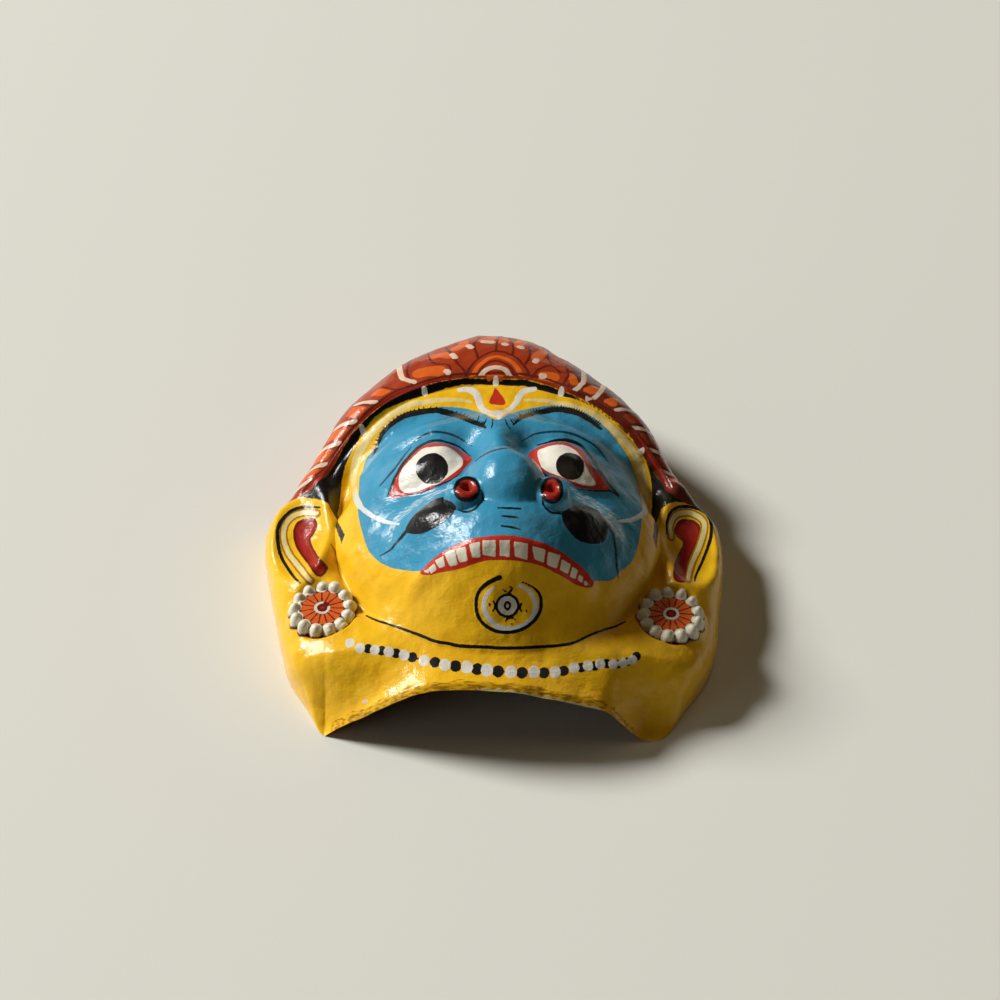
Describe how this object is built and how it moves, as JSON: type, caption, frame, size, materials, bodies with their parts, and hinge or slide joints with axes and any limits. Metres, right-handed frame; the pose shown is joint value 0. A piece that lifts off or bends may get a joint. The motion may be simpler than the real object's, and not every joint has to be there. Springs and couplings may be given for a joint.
{
  "type": "painted mask",
  "caption": "Hollow half-shell mask of pasted paper with a moulded animal face, ears, round earrings and a raised crown band, open behind and arched at the neck.",
  "frame": {"origin": "centre of the bounding box in plan, on the flat open rim the mask lies on", "axes": "+Z out of the face, away from the surface it lies on or hangs against; +Y from the neck to the top of the crown; +X to the viewer's right when the face is looked at with the crown up"},
  "size_m": [0.1512, 0.1554, 0.0614],
  "materials": {
    "painted_paper": "hand-painted and varnished, gloss; bare brown paper behind"
  },
  "bodies": {
    "root": {"mask": "painted_paper"}
  },
  "joints": []
}
